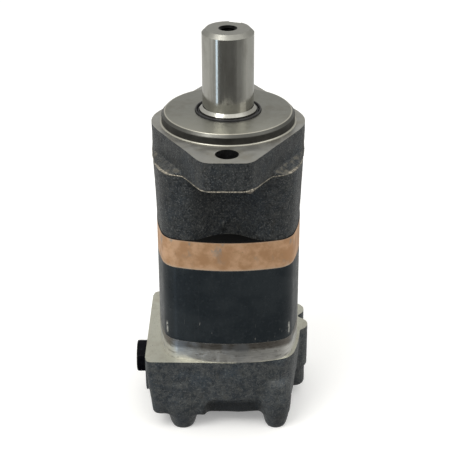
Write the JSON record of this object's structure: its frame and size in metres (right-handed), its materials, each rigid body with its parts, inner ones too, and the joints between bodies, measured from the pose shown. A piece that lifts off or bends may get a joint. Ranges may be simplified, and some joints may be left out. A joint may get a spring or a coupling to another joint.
{
  "type": "hydraulic motor",
  "caption": "Orbital hydraulic motor with a two-bolt flange, keyed output shaft, roller gear set, disc valve and side ports; the shaft turns the drives, star, rollers and valve.",
  "frame": {"origin": "centre of the locating pilot in the plane of the flange's mounting face", "axes": "+Z along the shaft, out of the motor; the mounting holes lie along Y; the port pad faces -X"},
  "size_m": [0.1153, 0.132, 0.2612],
  "materials": {
    "casting": "satin",
    "copper_plate": "satin",
    "black_steel": "satin",
    "bright_steel": "satin",
    "shaft_steel": "polished",
    "seal_rubber": "matte",
    "bearing_steel": "polished",
    "cage_steel": "satin",
    "hard_steel": "satin",
    "plug_black": "gloss",
    "washer_copper": "satin",
    "spring_steel": "satin"
  },
  "bodies": {
    "root": {"bearing_housing": "casting", "wear_plate": "copper_plate", "roller_ring": "black_steel", "valve_plate": "bright_steel", "valve_housing": "casting", "dust_seal": "seal_rubber", "shaft_seal": "seal_rubber", "seal_washer": "bright_steel", "front_bearing_cup": "bearing_steel", "rear_bearing_cup": "bearing_steel", "cup_spacer": "hard_steel", "balance_ring": "hard_steel", "balance_springs": "spring_steel", "balance_pins": "bearing_steel", "outer_face_seal": "seal_rubber", "inner_face_seal": "seal_rubber", "body_seals": "seal_rubber", "tie_bolts": "black_steel", "drain_plug": "plug_black", "drain_plug_washer": "washer_copper", "check_plugs": "black_steel"},
    "shaft": {"output_shaft": "shaft_steel", "front_bearing_cone": "bearing_steel", "rear_bearing_cone": "bearing_steel", "bearing_nut": "hard_steel"},
    "front_bearing_set": {"front_bearing_cage": "cage_steel", "front_bearing_rollers": "bearing_steel"},
    "rear_bearing_set": {"rear_bearing_cage": "cage_steel", "rear_bearing_rollers": "bearing_steel"},
    "spacer": {"drive_spacer": "hard_steel"},
    "rotor": {"star": "hard_steel"},
    "main_drive_body": {"main_drive": "hard_steel"},
    "valve_drive_body": {"valve_drive": "hard_steel"},
    "valve": {"valve_disc": "hard_steel"},
    "ball_1": {"check_ball_1": "bearing_steel"},
    "ball_2": {"check_ball_2": "bearing_steel"},
    "roller_1_body": {"roller_1": "bearing_steel"},
    "roller_2_body": {"roller_2": "bearing_steel"},
    "roller_3_body": {"roller_3": "bearing_steel"},
    "roller_4_body": {"roller_4": "bearing_steel"},
    "roller_5_body": {"roller_5": "bearing_steel"},
    "roller_6_body": {"roller_6": "bearing_steel"},
    "roller_7_body": {"roller_7": "bearing_steel"}
  },
  "joints": [
    {"name": "shaft_spin", "type": "hinge", "parent": "root", "child": "shaft", "pos_m": [0, 0, 0], "axis": [0, 0, 1], "continuous": true},
    {"name": "front_cage_spin", "type": "hinge", "parent": "root", "child": "front_bearing_set", "pos_m": [0, 0, -0.019], "axis": [0, 0, 1], "continuous": true},
    {"name": "rear_cage_spin", "type": "hinge", "parent": "root", "child": "rear_bearing_set", "pos_m": [0, 0, -0.0485], "axis": [0, 0, 1], "continuous": true},
    {"name": "spacer_orbit", "type": "hinge", "parent": "root", "child": "spacer", "pos_m": [0, 0, -0.112], "axis": [0, 0, 1], "continuous": true},
    {"name": "star_spin", "type": "hinge", "parent": "spacer", "child": "rotor", "pos_m": [0, 0.0033, -0.102], "axis": [0, 0, 1], "continuous": true},
    {"name": "main_drive_spin", "type": "hinge", "parent": "spacer", "child": "main_drive_body", "pos_m": [0, 0, -0.046], "axis": [0, -0.0588, 0.9983], "continuous": true},
    {"name": "valve_drive_spin", "type": "hinge", "parent": "spacer", "child": "valve_drive_body", "pos_m": [0, 0, -0.156], "axis": [0, 0.098, 0.9952], "continuous": true},
    {"name": "valve_spin", "type": "hinge", "parent": "root", "child": "valve", "pos_m": [0, 0, -0.1556], "axis": [0, 0, 1], "continuous": true},
    {"name": "roller_1_spin", "type": "hinge", "parent": "root", "child": "roller_1_body", "pos_m": [0, 0.033, -0.1085], "axis": [0, 0, 1], "continuous": true},
    {"name": "roller_2_spin", "type": "hinge", "parent": "root", "child": "roller_2_body", "pos_m": [-0.0258, 0.02057, -0.1085], "axis": [0, 0, 1], "continuous": true},
    {"name": "roller_3_spin", "type": "hinge", "parent": "root", "child": "roller_3_body", "pos_m": [-0.03217, -0.00734, -0.1085], "axis": [0, 0, 1], "continuous": true},
    {"name": "roller_4_spin", "type": "hinge", "parent": "root", "child": "roller_4_body", "pos_m": [-0.01432, -0.02973, -0.1085], "axis": [0, 0, 1], "continuous": true},
    {"name": "roller_5_spin", "type": "hinge", "parent": "root", "child": "roller_5_body", "pos_m": [0.01432, -0.02973, -0.1085], "axis": [0, 0, 1], "continuous": true},
    {"name": "roller_6_spin", "type": "hinge", "parent": "root", "child": "roller_6_body", "pos_m": [0.03217, -0.00734, -0.1085], "axis": [0, 0, 1], "continuous": true},
    {"name": "roller_7_spin", "type": "hinge", "parent": "root", "child": "roller_7_body", "pos_m": [0.0258, 0.02057, -0.1085], "axis": [0, 0, 1], "continuous": true},
    {"name": "check_ball_1_lift", "type": "slide", "parent": "root", "child": "ball_1", "axis": [0, 0, 1], "range_m": [0, 0.0016]},
    {"name": "check_ball_2_lift", "type": "slide", "parent": "root", "child": "ball_2", "axis": [0, 0, 1], "range_m": [0, 0.0016]}
  ],
  "couplings": [
    {"joint": "front_cage_spin", "follows": "shaft_spin", "ratio": 0.454},
    {"joint": "rear_cage_spin", "follows": "shaft_spin", "ratio": 0.454},
    {"joint": "spacer_orbit", "follows": "shaft_spin", "ratio": -6},
    {"joint": "star_spin", "follows": "shaft_spin", "ratio": 7},
    {"joint": "main_drive_spin", "follows": "shaft_spin", "ratio": 7},
    {"joint": "valve_drive_spin", "follows": "shaft_spin", "ratio": 7},
    {"joint": "valve_spin", "follows": "shaft_spin", "ratio": 1},
    {"joint": "roller_1_spin", "follows": "shaft_spin", "ratio": -4.72},
    {"joint": "roller_2_spin", "follows": "shaft_spin", "ratio": -4.72},
    {"joint": "roller_3_spin", "follows": "shaft_spin", "ratio": -4.72},
    {"joint": "roller_4_spin", "follows": "shaft_spin", "ratio": -4.72},
    {"joint": "roller_5_spin", "follows": "shaft_spin", "ratio": -4.72},
    {"joint": "roller_6_spin", "follows": "shaft_spin", "ratio": -4.72},
    {"joint": "roller_7_spin", "follows": "shaft_spin", "ratio": -4.72}
  ]
}
